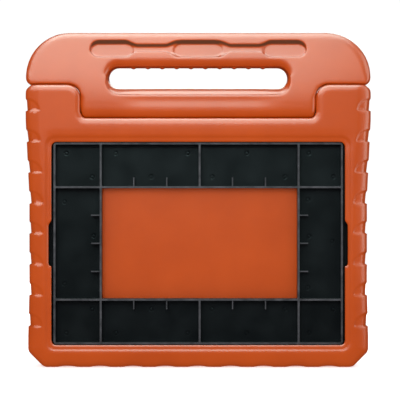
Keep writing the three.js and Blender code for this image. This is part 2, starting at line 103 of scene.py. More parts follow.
LIP_STEP = 1.0  # the strip round the screen opening lies this far behind the face
LIP_STRIP = 4.6  # and is this wide
SCOOP_PITCH = 25.3
SCOOP_TOP = EAR_TOP - 20.6
SCOOPS = 8
SCOOP_DEPTH = 1.5
SCOOP_REACH = 11.5
SCOOP_HEIGHT = 10.5
SCALLOP_PITCH = 27
SCALLOP_HALF = 8.5
SCALLOP_DEPTH = 0.9
SLOPE_REACH = 12  # the face slopes away over this much next to the sides and the foot
SLOPE_DROP = 3.2

# ------------------------------------------------------------ sizes of the handle, in mm

BAR_END = EAR_FACE - 0.6
HOLE_HALF = BAR_END - 22.6
HOLE_LOW = AXIS_Z + BAR_RADIUS
HOLE_END_ROUND = 5  # rounds of the hand hole's rim at its ends and along the grip
GRIP_ROUND = 8
POCKET_SLANT = 3.6  # the upper wall of a finger pocket slants in by this much
LEAN = 7  # the front of the handle curves back this far at its top, on top of an even tilt
TILT = 0.025  # that tilt, as a slope
HOLE_HIGH = HOLE_LOW + 17
SHOULDER = EAR_TOP + 0.6
SEAM_LAYER = 6  # under the shoulders, only this much of the handle's front lies beside the ears
FOLDED_GAP = 0.6  # left free between the folded handle and the case
FOLD = math.radians(frame["joints"][0]["range_deg"][1])
FOLD_TILT = FOLD - math.pi / 2


# ------------------------------------------------------------ mesh helpers

def round_corner(bm, vert, radius):
    """Rounds one corner of a flat outline to a true radius."""
    ends = [edge.other_vert(vert).co - vert.co for edge in vert.link_edges]
    half = ends[0].angle(ends[1]) / 2
    turn = math.pi - 2 * half
    bmesh.ops.bevel(
        bm, geom=[vert], offset=radius * MM / math.tan(half), offset_type="OFFSET",
        segments=max(2, round(ARC_STEPS * turn / (math.pi / 2))), profile=0.5,
        affect="VERTICES", material=-1,
    )


def outline(corners, plane, flat="y"):
    """A bmesh with one flat face. Corners are (across, up, radius) in mm, seen from the front
    where flat is y, and (depth, up, radius) seen from the side where flat is x."""
    bm = bmesh.new()
    if flat == "y":
        verts = [bm.verts.new(Vector((a, plane, b)) * MM) for a, b, *_ in corners]
    else:
        verts = [bm.verts.new(Vector((plane, a, b)) * MM) for a, b, *_ in corners]
    bm.faces.new(verts)
    for vert, (_, _, *radius) in zip(verts, corners):
        if radius and radius[0]:
            round_corner(bm, vert, radius[0])
    return bm


def extrude(bm, direction, distance):
    """Turns a flat outline into a closed solid that reaches that far along the direction."""
    made = bmesh.ops.extrude_face_region(bm, geom=bm.faces[:], use_keep_orig=True)
    moved = [v for v in made["geom"] if isinstance(v, bmesh.types.BMVert)]
    bmesh.ops.translate(bm, verts=moved, vec=Vector(direction) * distance * MM)
    bmesh.ops.recalc_face_normals(bm, faces=bm.faces[:])
    return bm


def slab(corners, front, back):
    """An outline seen from the front, from y = front to y = back."""
    return extrude(outline(corners, front), (0, 1, 0), back - front)


def beam(corners, left, right):
    """An outline seen from the side, from x = left to x = right."""
    return extrude(outline(corners, left, flat="x"), (1, 0, 0), right - left)


def rectangle(half_x, half_z, radius, x=0, z=0):
    return [
        (x - half_x, z - half_z, radius), (x + half_x, z - half_z, radius),
        (x + half_x, z + half_z, radius), (x - half_x, z + half_z, radius),
    ]


def drum(left, right, radius, segments=48, height=AXIS_Z, depth=0):
    """A round bar along X."""
    bm = bmesh.new()
    place = Matrix.Translation(Vector(((left + right) / 2, depth, height)) * MM)
    bmesh.ops.create_cone(
        bm, cap_ends=True, segments=segments, radius1=radius * MM, radius2=radius * MM,
        depth=(right - left) * MM, matrix=place @ Matrix.Rotation(math.pi / 2, 4, "Y"),
    )
    return bm


def upright_drum(x, z, front, back, radius, segments=32, front_radius=None):
    """A round bar along Y, which may widen towards its front end."""
    bm = bmesh.new()
    place = Matrix.Translation(Vector((x, (front + back) / 2, z)) * MM)
    bmesh.ops.create_cone(
        bm, cap_ends=True, segments=segments, radius1=radius * MM,
        radius2=(front_radius or radius) * MM,
        depth=(back - front) * MM, matrix=place @ Matrix.Rotation(math.pi / 2, 4, "X"),
    )
    return bm


def turned(profile, segments=64):
    """A profile of (x, radius) in mm, spun about the hinge axis. It starts and ends on the axis."""
    bm = bmesh.new()
    verts = [bm.verts.new(Vector((x, 0, AXIS_Z + radius)) * MM) for x, radius in profile]
    edges = [bm.edges.new(pair) for pair in zip(verts, verts[1:])]
    bmesh.ops.spin(
        bm, geom=verts + edges, cent=Vector((0, 0, AXIS_Z)) * MM, axis=(1, 0, 0),
        angle=2 * math.pi, steps=segments, use_merge=True,
    )
    bmesh.ops.remove_doubles(bm, verts=bm.verts[:], dist=1e-6)
    bmesh.ops.recalc_face_normals(bm, faces=bm.faces[:])
    return bm


def mirrored(bm):
    """The same solid on the other side of the case."""
    other = bm.copy()
    bmesh.ops.scale(other, vec=(-1, 1, 1), verts=other.verts[:])
    bmesh.ops.recalc_face_normals(other, faces=other.faces[:])
    return other


def gathered(*parts):
    """Several solids in one bmesh."""
    mesh = bpy.data.meshes.new("gathered")
    whole = bmesh.new()
    for part in parts:
        part.to_mesh(mesh)
        whole.from_mesh(mesh)
        part.free()
    bpy.data.meshes.remove(mesh)
    return whole


def place(name, bm):
    """An object with that mesh, at the origin."""
    mesh = bpy.data.meshes.new(name)
    bm.to_mesh(mesh)
    bm.free()
    obj = bpy.data.objects.new(name, mesh)
    bpy.context.scene.collection.objects.link(obj)
    return obj


def settle(obj):
    """Applies the object's modifiers."""
    graph = bpy.context.evaluated_depsgraph_get()
    mesh = bpy.data.meshes.new_from_object(obj.evaluated_get(graph))
    old = obj.data
    obj.modifiers.clear()
    obj.data = mesh
    mesh.name = obj.name
    bpy.data.meshes.remove(old)


def combine(obj, how, *parts):
    """Cuts solids from the object or joins them to it, one after the other."""
    for part in parts:
        tool = place("tool", part)
        step = obj.modifiers.new("combine", "BOOLEAN")
        step.operation = how
        step.solver = "MANIFOLD"
        step.object = tool
        settle(obj)
        mesh = tool.data
        bpy.data.objects.remove(tool)
        bpy.data.meshes.remove(mesh)


def round_edges(obj, weight_of, widest):
    """Rounds the front and back rims of a slab. weight_of gives the radius in mm at a rim's middle."""
    mesh = obj.data
    weights = mesh.attributes.new("bevel_weight_edge", "FLOAT", "EDGE")
    flat_y = [min(v.co.y for v in mesh.vertices), max(v.co.y for v in mesh.vertices)]
    for edge in mesh.edges:
        a, b = [mesh.vertices[i].co for i in edge.vertices]
        if min(abs(a.y - y) + abs(b.y - y) for y in flat_y) < 1e-6:
            weights.data[edge.index].value = weight_of((a + b) / 2 / MM) / widest
    step = obj.modifiers.new("rounding", "BEVEL")
    step.limit_method = "WEIGHT"
    step.width = widest * MM
    step.segments = ARC_STEPS
    step.use_clamp_overlap = False
    settle(obj)


def points_of(obj):
    co = np.zeros(len(obj.data.vertices) * 3)
    obj.data.vertices.foreach_get("co", co)
    return co.reshape(-1, 3) / MM


def move_points(obj, points):
    obj.data.vertices.foreach_set("co", (points * MM).ravel())
    obj.data.update()


def skin(obj, voxel, smoothing):
    """Gives a foam piece one even, softly rounded skin."""
    step = obj.modifiers.new("skin", "REMESH")
    step.mode = "VOXEL"
    step.voxel_size = voxel * MM
    step.use_smooth_shade = True
    step = obj.modifiers.new("soften", "SMOOTH")
    step.factor = 0.5
    step.iterations = smoothing
    settle(obj)


def thin_out(obj, triangles):
    """Thins the flat stretches of a dense skin."""
    obj.data.calc_loop_triangles()
    ratio = triangles / len(obj.data.loop_triangles)
    if ratio < 1:
        step = obj.modifiers.new("thin", "DECIMATE")
        step.ratio = ratio
        settle(obj)
    obj.data.shade_smooth()


def ease(share):
    """0 to 1, with a soft start and end."""
    share = np.clip(share, 0, 1)
    return share * share * (3 - 2 * share)


# ------------------------------------------------------------ foam shell

FLARE = ([25, 64.7, 139.7, RECESS_FLOOR], [FOOT_HALF, WAIST_HALF, WAIST_HALF, EAR_HALF])


def shell_outline():
    right = [
        (FOOT_HALF - FOOT_CHAMFER, 0, 6), (FOOT_HALF, FOOT_CHAMFER, 6),
        *[(width, height, 30) for height, width in zip(*FLARE)],
        (EAR_HALF, EAR_TOP, 5.5), (EAR_FACE, EAR_TOP, 10), (EAR_FACE, RECESS_FLOOR, 5.6),
    ]
    return right + [(-x, z, r) for x, z, r in reversed(right)]


def opening_outline():
    """The screen opening, with a thumb notch in each short side."""
    right = [
        (WINDOW_HALF, -WINDOW_HALF_HIGH, 4), (WINDOW_HALF, -NOTCH_HALF, 0),
        (WINDOW_HALF + NOTCH_DEPTH, -NOTCH_HALF, 1.5),
        (WINDOW_HALF + NOTCH_DEPTH, NOTCH_HALF - 3, 0.6),
        (WINDOW_HALF, NOTCH_HALF, 0.6), (WINDOW_HALF, WINDOW_HALF_HIGH, 4),
    ]
    whole = right + [(-x, z, r) for x, z, r in reversed(right)]
    return [(x, z + TRAY_Z, r) for x, z, r in whole]


def recess_slope():
    """What the folded handle needs off the back of the recess floor."""
    floor = -(BAR_RADIUS + RECESS_GAP)
    gap = BAR_RADIUS + FOLDED_GAP
    start = (-floor * math.cos(FOLD_TILT) - gap) / math.sin(FOLD_TILT)
    back = HALF_DEPTH + 4
    low = -(gap + back * math.sin(FOLD_TILT)) / math.cos(FOLD_TILT)
    corners = [(start, floor), (back, low), (back, EAR_ROUND + 1), (start, EAR_ROUND + 1)]
    return beam([(y, h + AXIS_Z) for y, h in corners], -EAR_FACE, EAR_FACE)


def ear_round():
    """What lies outside the round rear of the ears."""
    reach = EAR_ROUND + 1
    block = beam(
        [(0, AXIS_Z), (reach, AXIS_Z), (reach, AXIS_Z + reach), (0, AXIS_Z + reach)],
        -EAR_HALF - 1, EAR_HALF + 1,
    )
    cutter = place("ear_round", block)
    combine(cutter, "DIFFERENCE", drum(-EAR_HALF - 5, EAR_HALF + 5, EAR_ROUND, segments=96))
    bm = bmesh.new()
    bm.from_mesh(cutter.data)
    mesh = cutter.data
    bpy.data.objects.remove(cutter)
    bpy.data.meshes.remove(mesh)
    return bm


def ear_ease():
    """A half ring off the rear of an ear's inner corner, where the handle's corner sweeps past."""
    steps = 8
    outside = 2 * EAR_ROUND
    corner = 10
    profile = []
    for i in range(steps + 1):
        x = 4.5 * i / steps
        top = EAR_ROUND - corner + math.sqrt(corner**2 - (corner - x) ** 2)
        swept = math.hypot(BAR_RADIUS - SEAM_LAYER, top + 0.6)
        profile.append((EAR_FACE + x, swept - FOLDED_GAP))
    start = EAR_FACE - 1
    profile = [(start, profile[0][1]), *profile, (profile[-1][0], outside), (start, outside)]
    bm = bmesh.new()
    face = bm.faces.new([bm.verts.new(Vector((x, 0, AXIS_Z + r)) * MM) for x, r in profile])
    bmesh.ops.spin(
        bm, geom=[face], cent=Vector((0, 0, AXIS_Z)) * MM, axis=(1, 0, 0),
        angle=-math.pi, steps=48, use_merge=False,
    )
    bmesh.ops.remove_doubles(bm, verts=bm.verts[:], dist=1e-6)
    bmesh.ops.recalc_face_normals(bm, faces=bm.faces[:])
    return bm


def hinge_cavity():
    """Room for the socket in an ear."""
    return drum(EAR_FACE - 1, EAR_FACE + 4.3, 9.3), drum(EAR_FACE + 2, rod_high.x + 23.4, 9.1)


def shell_blank():
    shell = place("foam_shell", slab(shell_outline(), -HALF_DEPTH, HALF_DEPTH))

    def rim(point):
        """A tight bead round the ears and the recess, and a fuller round elsewhere."""
        return BEAD_ROUND if point.z > RECESS_FLOOR - 3 else RIM_ROUND

    round_edges(shell, rim, RIM_ROUND)
    strip_x, strip_z = WINDOW_HALF + LIP_STRIP, WINDOW_HALF_HIGH + LIP_STRIP
    front, back = -HALF_DEPTH - 1, HALF_DEPTH + 1
    camera_x = TRAY_HALF - CAMERA_INSET
    camera_z = TRAY_Z + TRAY_HALF_HIGH - CAMERA_INSET
    middle = (LIP_BACK + PANEL_FRONT) / 2
    port = rectangle(PORT_HALF_WIDE, PORT_HALF_HIGH, PORT_CORNER, x=middle, z=TRAY_Z)
    combine(
        shell, "DIFFERENCE",
        slab(rectangle(strip_x, strip_z, 8, z=TRAY_Z), front, -HALF_DEPTH + LIP_STEP),
        slab(opening_outline(), front, LIP_BACK + 1),
        slab(rectangle(POCKET_HALF, POCKET_HALF_HIGH, 6, z=TRAY_Z), LIP_BACK, PANEL_FRONT),
        slab(rectangle(BACK_HALF, BACK_HALF_HIGH, BACK_CORNER, z=TRAY_Z), PANEL_BACK, back),
        upright_drum(camera_x, camera_z, PANEL_FRONT - 1, back, CAMERA_RADIUS),
        beam(port, POCKET_HALF - 1, EAR_HALF + 1),
        recess_slope(),
        ear_round(),
    )
    for cavity in (*hinge_cavity(), ear_ease()):
        combine(shell, "DIFFERENCE", mirrored(cavity), cavity)
    return shell


def roll_bead(shell):
    """Rolls the front edge of the ears and the recess outwards, so that it hugs the handle."""
    co = points_of(shell)
    x, y, z = co.T
    normal = np.zeros(len(co) * 3)
    shell.data.vertex_normals.foreach_get("vector", normal)
    normal = normal.reshape(-1, 3)
    recess_roll, ear_roll = 2.3, 1.5
    reach = np.where(z < RECESS_FLOOR + 5, recess_roll, ear_roll)
    reach *= ease((-y - HALF_DEPTH + 5) / 2.5)
    reach *= (z > RECESS_FLOOR - 5) * ease((EAR_HALF - 2 - np.abs(x)) / 5)
    co[:, 0] += normal[:, 0] * reach
    co[:, 2] += normal[:, 2] * reach
    move_points(shell, co)


def foam_shell():
    shell = shell_blank()
    skin(shell, voxel=0.85, smoothing=5)
    roll_bead(shell)
    co = points_of(shell)
    x, y, z = co.T
    width = np.interp(z, *FLARE)
    inward = width - np.abs(x)  # from the side of the rim
    front = np.clip(-y / HALF_DEPTH, 0, 1)
    back = np.clip(y / HALF_DEPTH, 0, 1)

    # Next to the sides and the foot the face slopes away.
    corner = (inward + z - FOOT_CHAMFER) / math.sqrt(2)
    edge = np.minimum(np.minimum(inward, z), np.maximum(corner, 0))
    share = np.clip((SLOPE_REACH - edge) / SLOPE_REACH, 0, 1)
    drop = SLOPE_DROP * share**1.4
    co[:, 1] += drop * (ease(front * 1.4 - 0.4) - ease(back * 1.4 - 0.4))

    # The band over the screen opening falls back towards the opening.
    opening_top = TRAY_Z + WINDOW_HALF_HIGH
    fall, reach = 0.8, 12
    near = ease((opening_top + reach - z) / reach) * ease((z - opening_top + reach) / reach)
    co[:, 1] += fall * near * ease(front * 2 - 1) * ease((inward - reach) / reach)

    # Thumb scoops: a quarter round, deepest at its ledge, on the side and on both faces.
    for i in range(SCOOPS):
        ledge = SCOOP_TOP - i * SCOOP_PITCH
        up = (z - ledge) / SCOOP_HEIGHT
        along = np.clip(inward - 1.5, 0, None) / SCOOP_REACH
        radius = np.hypot(along, np.clip(up, 0, None))
        depth = SCOOP_DEPTH * ease((1 - radius) * 6) * (up > 0) * (1 - 0.45 * np.clip(up, 0, 1))
        side_share = ease((6 - inward) / 5)
        co[:, 0] -= np.sign(x) * depth * side_share
        co[:, 1] += 0.6 * depth * (ease(front * 2 - 0.6) - ease(back * 2 - 0.6))

    # Scallops along the foot.
    for i in range(-4, 5):
        reach = (x - i * SCALLOP_PITCH) / SCALLOP_HALF
        rise = SCALLOP_DEPTH * np.clip(1 - reach**2, 0, 1)
        co[:, 2] += rise * ease((12 - z) / 12)

    move_points(shell, co)
    thin_out(shell, 190_000)
    return shell


# ------------------------------------------------------------ handle

def handle_outline():
    right = [
        (BAR_END, AXIS_Z, 0), (BAR_END, SHOULDER, 9.4), (EAR_HALF, SHOULDER, 6.5),
        (EAR_HALF - 0.6, HANDLE_TOP, 36),
    ]
    return right + [(-x, z, r) for x, z, r in reversed(right)]


def hand_hole():
    """The hand hole. Its rim is rounded at both faces: to the bar's own round along the foot,
    less along the grip, and least at the ends."""
    half_high = (HOLE_HIGH - HOLE_LOW) / 2
    middle = HOLE_LOW + half_high
    straight = HOLE_HALF - half_high
    layers = 2 * ARC_STEPS + 3
    bm = slab(rectangle(HOLE_HALF, half_high, half_high - 0.01, z=middle), 0, layers)
    for i in range(1, layers):
        bmesh.ops.bisect_plane(
            bm, geom=bm.verts[:] + bm.edges[:] + bm.faces[:],
            plane_co=(0, i * MM, 0), plane_no=(0, 1, 0))
    for v in bm.verts:
        x, layer, z = v.co.x / MM, round(v.co.y / MM), v.co.z / MM - middle
        step = min(layer, layers - layer)
        away = Vector((x - max(-straight, min(straight, x)), 0, z)).normalized()
        round_there = BAR_RADIUS - 0.1 if away.z < 0 else GRIP_ROUND
        radius = HOLE_END_ROUND + (round_there - HOLE_END_ROUND) * away.z**2
        turn = math.pi / 2 * max(step - 1, 0) / ARC_STEPS
        depth = BAR_RADIUS - radius * (1 - math.cos(turn)) if step else BAR_RADIUS + 1
        out = radius * (1 - math.sin(turn))
        side = depth if layer > step else -depth
        v.co = Vector((x + away.x * out, side, z + middle + away.z * out)) * MM
    return bm


def finger_pockets():
    """Three finger pockets along the front of the grip, joined by a shallower groove. Each is
    deepest under its upper edge and runs out towards its lower one."""
    top = HANDLE_TOP - 5.9
    high = 15
    low = top - high
    groove_top, groove_low = top - 3.6, top - 9.8
    inner, outer = 20.6, 53.4
    upper = [
        (inner - 2.5, top, 2), (inner + 5.5, groove_top, 2), (outer - 2, groove_top, 2),
        (outer + 6, top, 2), (outer + 34, top, 7),
    ]
    lower = [
        (outer + 34, low, 7), (outer + 6, low, 2), (outer - 2, groove_low, 2),
        (inner + 5.5, groove_low, 2), (inner - 2.5, low, 2),
    ]
    right = upper + lower
    chain = right + [(-x, z, r) for x, z, r in reversed(right)]
    end_half = 18
    outlines = [(chain, 5.8, 2.4)]
    for x, half in ((-outer - end_half, end_half), (0, inner), (outer + end_half, end_half)):
        pocket = rectangle(half, high / 2, high / 2 - 0.1, x=x, z=low + high / 2)
        outlines.append((pocket, 7.6, 4))
    pockets = []
    for corners, deep, shallow in outlines:
        bm = slab(corners, -BAR_RADIUS - 1, 0)
        for v in bm.verts:
            if v.co.y > -MM:
                share = (v.co.z / MM - low) / (top - low)
                v.co.y = (shallow + (deep - shallow) * share - BAR_RADIUS) * MM
                v.co.z -= POCKET_SLANT * share * MM
        pockets.append(bm)
    return pockets


def shoulder_relief():
    """Foam under the shoulders that would meet the case as the handle folds back."""
    up = SHOULDER - AXIS_Z
    gap = HALF_DEPTH + FOLDED_GAP
    start = (up * math.cos(FOLD_TILT) - gap) / math.sin(FOLD_TILT)
    back = BAR_RADIUS + 1
    high = (gap + back * math.sin(FOLD_TILT)) / math.cos(FOLD_TILT)
    behind = SEAM_LAYER - BAR_RADIUS
    shapes = [
        [(start, up), (start, -1), (back, -1), (back, high)],
        [(behind, up), (behind, -1), (back, -1), (back, up)],
    ]
    cutters = []
    for shape in shapes:
        corners = [(y, h + AXIS_Z) for y, h in shape]
        cutters.append(beam(corners, BAR_END, EAR_HALF + 1))
        cutters.append(beam(corners, -EAR_HALF - 1, -BAR_END))
    return cutters


def square_bar(co):
    """Gives the round bar its real front: under the hand hole a nearly flat face that leans
    back, and all along it a soft lower edge."""
    x, y, z = co.T
    up = z - AXIS_Z
    radius = np.hypot(y, up)
    turn = np.arctan2(up, -y)
    side, rise = np.cos(turn), np.sin(turn)
    lean, leaning_from = 0.14, -7
    face = (BAR_RADIUS + leaning_from * lean) / np.maximum(side + lean * rise, 1e-3)
    edge = BAR_RADIUS / np.maximum(np.abs(rise), 1e-3)
    leaning = (face**-3.0 + edge**-3.0) ** (-1 / 3) / BAR_RADIUS
    squared = np.where(up < 0, (np.abs(side)**3.5 + np.abs(rise)**3.5) ** (-1 / 3.5), 1)
    under_hole = ease((HOLE_HALF - 2 - np.abs(x)) / 30)
    wanted = squared + (leaning - squared) * under_hole
    amount = ease((radius - 9) / 4) * (y < 0) * (up < BAR_RADIUS + 1)
    grow = 1 + (wanted - 1) * amount
    beside = (up > 0) & (np.abs(x) > HOLE_HALF - 2)
    grow = np.where(beside, 1, grow)
    co[:, 1] = y * grow
    co[:, 2] = AXIS_Z + up * grow


def foam_handle():
    handle = place("foam_handle", slab(handle_outline(), -BAR_RADIUS, BAR_RADIUS))

    def rim(point):
        """Full along the top, tighter along the seam with the ears, none where the bar joins."""
        if point.z < AXIS_Z + 0.01:
            return 0
        return 7.5 if point.z > SHOULDER + 12 else 5

    round_edges(handle, rim, 7.5)
    combine(handle, "DIFFERENCE", hand_hole(), *shoulder_relief(), *finger_pockets())
    end = 5
    profile = [(-BAR_END, 0)]
    for i in range(ARC_STEPS + 1):
        turn = math.pi / 2 * i / ARC_STEPS
        x = -BAR_END + end * (1 - math.cos(turn))
        profile.append((x, BAR_RADIUS - end * (1 - math.sin(turn))))
    profile += [(-x, radius) for x, radius in reversed(profile)]
    combine(handle, "UNION", turned(profile))
    ridges = [
        upright_drum((i - 4.5) * 12, HOLE_HIGH + 0.9, -4, 4, 2.2) for i in range(10)
    ]
    combine(handle, "UNION", *ridges)
    # Bores for the rod, and for a hub's flange and barrel in each end of the bar.
    for bore in (
        drum(-BAR_END - 1, BAR_END + 1, 4.3),
        drum(BAR_END - 3.5, BAR_END + 1, 7.8),
        drum(BAR_END - 17.5, BAR_END + 1, 6.3),
    ):
        twin = mirrored(bore)
        combine(handle, "DIFFERENCE", bore, twin)
    skin(handle, voxel=0.75, smoothing=6)

    co = points_of(handle)
    x, y, z = co.T
    front = np.clip(-y / BAR_RADIUS, 0, 1)
    back = np.clip(y / BAR_RADIUS, 0, 1)
    square_bar(co)
    lean = LEAN * np.clip((z - AXIS_Z) / (HANDLE_TOP - AXIS_Z), 0, 1) ** 1.5
    lean += TILT * np.clip(z - AXIS_Z + 7, 0, None)
    co[:, 1] += lean * (front - 0.2 * back)
    move_points(handle, co)
    step = handle.modifiers.new("soften", "SMOOTH")
    step.factor = 0.5
    step.iterations = 3
    settle(handle)
    thin_out(handle, 150_000)
    return handle


# ------------------------------------------------------------ spacer tray

def spacer_tray():
    wall, floor = 1.6, TRAY_BACK - 1.8  # thickness of a rib, and where the floor's front lies
    rim_x, rim_z = TRAY_HALF - 6, TRAY_HALF_HIGH - 3.8
    win_x, win_z = TRAY_HALF - 43.7, TRAY_HALF_HIGH - 40.65
    shift = 1.2  # the window lies this far to the right of the middle
    edge = wall / 2

    def at(half_x, half_z, radius, x=0.0, z=0.0):
        return rectangle(half_x, half_z, radius, x=x, z=TRAY_Z + z)

    tray = place("ribbed_tray", slab(at(TRAY_HALF, TRAY_HALF_HIGH, 5), floor, TRAY_BACK))
    combine(tray, "UNION", slab(at(rim_x, rim_z, 2.5), TRAY_FRONT, floor + 0.2))
    left, right = shift - win_x, shift + win_x
    columns = [
        (-rim_x + wall, left - edge), (left + edge, right - edge), (right + edge, rim_x - wall),
    ]
    rows = [
        (-rim_z + wall, -win_z - edge), (-win_z + edge, win_z - edge), (win_z + edge, rim_z - wall),
    ]
    cells = []
    for c, (x0, x1) in enumerate(columns):
        for r, (z0, z1) in enumerate(rows):
            if (c, r) == (1, 1):
                continue
            spans = [(x0, x1)] if c != 1 else [(x0, shift - edge), (shift + edge, x1)]
            for a, b in spans:
                cells.append(slab(
                    at((b - a) / 2, (z1 - z0) / 2, 0.7, x=(a + b) / 2, z=(z0 + z1) / 2),
                    TRAY_FRONT - 1, floor))
    combine(tray, "DIFFERENCE", gathered(*cells))
    combine(tray, "DIFFERENCE", slab(
        at(win_x - edge, win_z - edge, 0.7, x=shift), TRAY_FRONT - 1, TRAY_BACK + 1))

    # Gussets stand outwards from the window's four walls.
    gussets = []
    for side in (-1, 1):
        for i in (-2, -1, 1, 2):
            gussets.append(slab(
                at(0.5, 4, 0, x=shift + i * 27.2, z=side * (win_z + 4)), TRAY_FRONT + 1, floor + 0.2))
        for i in (-1, 0, 1):
            gussets.append(slab(
                at(4, 0.5, 0, x=shift + side * (win_x + 4), z=i * 23.2), TRAY_FRONT + 1, floor + 0.2))
    combine(tray, "UNION", *gussets)
    step = tray.modifiers.new("soft_edges", "BEVEL")
    step.width = 0.45 * MM
    step.segments = 3
    step.angle_limit = math.radians(40)
    settle(tray)

    # Round marks in the floor, such as ejector pins leave, in two staggered rows. They are cut
    # 1.2 mm deep, which is deeper than real ones, so that they show.
    outer_row = (-109.5, -68.5, -8.7, 40.2, 92)
    inner_row = (-88, -39, 11.6, 72, 112.3)
    spots = [(x, side * 74.6) for side in (-1, 1) for x in outer_row]
    spots += [(x, side * 55) for side in (-1, 1) for x in inner_row]
    spots += [(-111.1, 34), (-87, 6), (-111.1, -34), (91, 36), (92, 5.6), (111.3, 1.4), (91, -37)]
    deep = 1.2
    marks = [
        upright_drum(x, TRAY_Z + z, floor - deep, floor + deep, 1.6, front_radius=4)
        for x, z in spots
    ]
    pips = [upright_drum(x, TRAY_Z + z, floor - 0.1, floor + 1.4, 1) for x, z in spots]
    combine(tray, "DIFFERENCE", gathered(*marks))
    combine(tray, "UNION", gathered(*pips))
    tray.data.shade_smooth()
    step = tray.modifiers.new("flat_faces", "WEIGHTED_NORMAL")
    step.keep_sharp = True
    settle(tray)
    return tray


# ------------------------------------------------------------ materials

def linear(hex_colour):
    """An sRGB hex value as linear RGBA."""
    values = [int(hex_colour[i:i + 2], 16) / 255 for i in (1, 3, 5)]
    return [v / 12.92 if v <= 0.04045 else ((v + 0.055) / 1.055) ** 2.4 for v in values] + [1.0]


def node(tree, kind, settings=None, **links):
    """Adds a node. Settings are its own values or its inputs' values, links go to its inputs."""
    made = tree.nodes.new("ShaderNode" + kind)
    for key, value in (settings or {}).items():
        if hasattr(made, key):
            setattr(made, key, value)
        else:
            made.inputs[key].default_value = value
    for key, source in links.items():
        tree.links.new(source, made.inputs[key.replace("_", " ")])
    return made


def material(name, colour, **shader):
    """A new node material. Returns it, its tree and its Principled shader."""
    made = bpy.data.materials.new(name)
    made.use_nodes = True
    tree = made.node_tree
    bsdf = tree.nodes["Principled BSDF"]
    bsdf.inputs["Base Color"].default_value = linear(colour)
    for key, value in shader.items():
        bsdf.inputs[key.replace("_", " ")].default_value = value
    return made, tree, bsdf


def per_metre(millimetres):
    """Texture scale for a feature of that size."""
    return 1 / (millimetres * MM)


def eva_foam():
    """Ethylene-vinyl acetate foam, compression moulded: a soft matte skin with a fine leathery
    grain that catches a broad, pale light on what faces up."""
    made, tree, bsdf = material("eva_foam_moulded", "#C94C06")
    bsdf.inputs["Specular IOR Level"].default_value = 0.5
    coords = node(tree, "TexCoord").outputs["Object"]
    # Grain cells of the mould's etched texture are about 1 mm across.
    grain = node(tree, "TexVoronoi", {"feature": "F1", "Scale": per_metre(1.1)}, Vector=coords)
    # Pinhead pores and flow marks in the skin, a few millimetres apart.
    waves = node(tree, "TexNoise", {"Scale": per_metre(3), "Detail": 4.0}, Vector=coords)
    height = node(
        tree, "Mix", {"data_type": "FLOAT", "Factor": 0.5},
        A=grain.outputs["Distance"], B=waves.outputs["Fac"])
    bump = node(
        tree, "Bump", {"Strength": 0.16, "Distance": 0.12 * MM}, Height=height.outputs[0])
    # Pigment is a touch uneven over some centimetres.
    patch = node(tree, "TexNoise", {"Scale": per_metre(35), "Detail": 3.0}, Vector=coords)
    ramp = node(tree, "ValToRGB", Fac=patch.outputs["Fac"])
    ramp.color_ramp.elements[0].position = 0.3
    ramp.color_ramp.elements[0].color = linear("#C54A04")
    ramp.color_ramp.elements[1].position = 0.7
    ramp.color_ramp.elements[1].color = linear("#CE5009")
    tree.links.new(ramp.outputs["Color"], bsdf.inputs["Base Color"])
    rough = node(
        tree, "MapRange", {"To Min": 0.26, "To Max": 0.33}, Value=waves.outputs["Fac"])
    tree.links.new(rough.outputs["Result"], bsdf.inputs["Roughness"])
    tree.links.new(bump.outputs["Normal"], bsdf.inputs["Normal"])
    return made


def plastic(name, colour, pale, roughness, grain_mm, depth):
    """Injection-moulded plastic: an even colour, a faint spark-eroded grain and soft flow marks."""
    made, tree, bsdf = material(name, colour, Roughness=roughness)
    bsdf.inputs["Specular IOR Level"].default_value = 0.28
    coords = node(tree, "TexCoord").outputs["Object"]
    grain = node(tree, "TexNoise", {"Scale": per_metre(grain_mm), "Detail": 3.0}, Vector=coords)
    flow = node(tree, "TexNoise", {"Scale": per_metre(18), "Detail": 2.0}, Vector=coords)
    bump = node(tree, "Bump", {"Strength": 0.2, "Distance": depth * MM}, Height=grain.outputs["Fac"])
    ramp = node(tree, "ValToRGB", Fac=flow.outputs["Fac"])
    ramp.color_ramp.elements[0].position = 0.35
    ramp.color_ramp.elements[0].color = linear(colour)
    ramp.color_ramp.elements[1].position = 0.7
    ramp.color_ramp.elements[1].color = linear(pale)
    rough = node(
        tree, "MapRange", {"To Min": roughness - 0.05, "To Max": roughness + 0.07},
        Value=flow.outputs["Fac"])
    tree.links.new(ramp.outputs["Color"], bsdf.inputs["Base Color"])
    tree.links.new(rough.outputs["Result"], bsdf.inputs["Roughness"])
    tree.links.new(bump.outputs["Normal"], bsdf.inputs["Normal"])
    return made


def paler_rib_tops(made):
    """The tops of the ribs are given a paler colour than the cells between them, and unevenly so."""
    tree = made.node_tree
    bsdf = tree.nodes["Principled BSDF"]
    coords = node(tree, "TexCoord").outputs["Object"]
    depth = node(tree, "SeparateXYZ", Vector=coords).outputs["Y"]
    height = node(tree, "MapRange", {
        "From Min": (TRAY_FRONT + 1.9) * MM, "From Max": (TRAY_FRONT + 1.2) * MM}, Value=depth)
    # The paler tone comes and goes over about 6 mm.
    uneven_tone = node(tree, "TexNoise", {"Scale": per_metre(6), "Detail": 2.0}, Vector=coords)
    amount = node(tree, "Math", {"operation": "MULTIPLY"})
    tree.links.new(height.outputs["Result"], amount.inputs[0])
    tree.links.new(uneven_tone.outputs["Fac"], amount.inputs[1])
    base = bsdf.inputs["Base Color"].links[0].from_socket
    # A paler colour is painted on the front edges of the ribs, and unevenly so.
    mix = node(tree, "Mix", {"data_type": "RGBA"})
    tree.links.new(amount.outputs[0], mix.inputs[0])
    tree.links.new(base, mix.inputs[6])
    mix.inputs[7].default_value = linear("#626166")
    tree.links.new(mix.outputs[2], bsdf.inputs["Base Color"])


